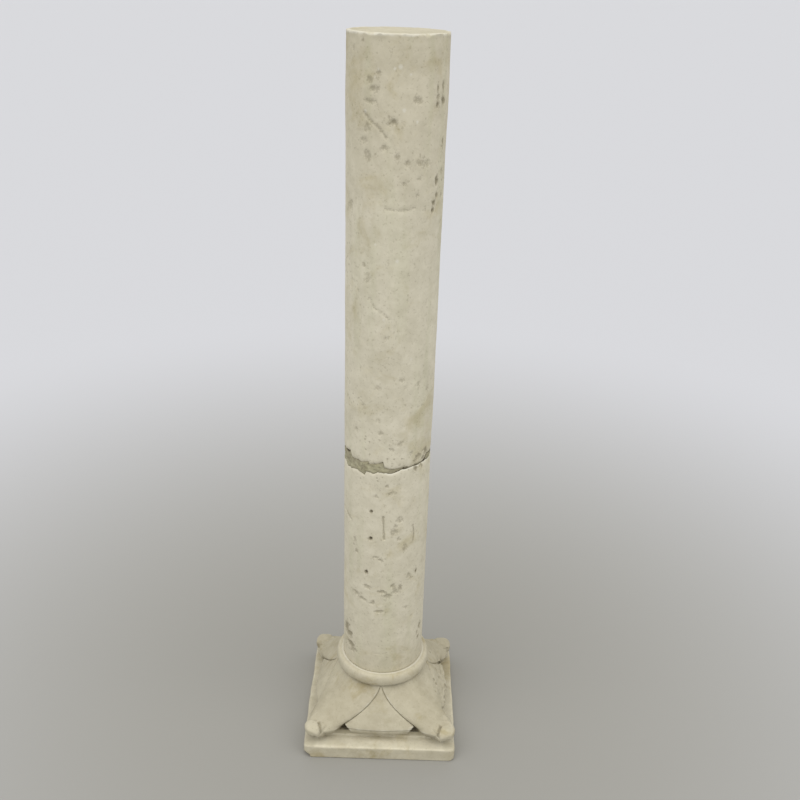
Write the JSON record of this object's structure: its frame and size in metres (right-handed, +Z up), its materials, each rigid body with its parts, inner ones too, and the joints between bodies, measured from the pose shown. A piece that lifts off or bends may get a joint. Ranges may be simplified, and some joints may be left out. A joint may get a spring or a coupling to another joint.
{
  "type": "stone column on a carved leaf base",
  "caption": "Plain round stone column shaft in mortared drums, standing on a square carved base with spreading leaves, rolled leaf tips and a rounded ring.",
  "frame": {"origin": "centre of the underside of the square slab, on the floor", "axes": "+Z up along the shaft, +X and +Y square to the slab's sides, -Y towards the front"},
  "size_m": [0.336, 0.336, 1.5],
  "materials": {
    "base_stone": "carved pale limestone, weathered, with dirt in the hollows and worn edges",
    "shaft_stone": "tooled pale limestone, mottled, pitted and stained",
    "mortar": "rough grey-green lime mortar"
  },
  "bodies": {
    "root": {"base": "base_stone", "lower_shaft": "shaft_stone", "joint_mortar": "mortar", "upper_shaft": "shaft_stone"}
  },
  "joints": []
}
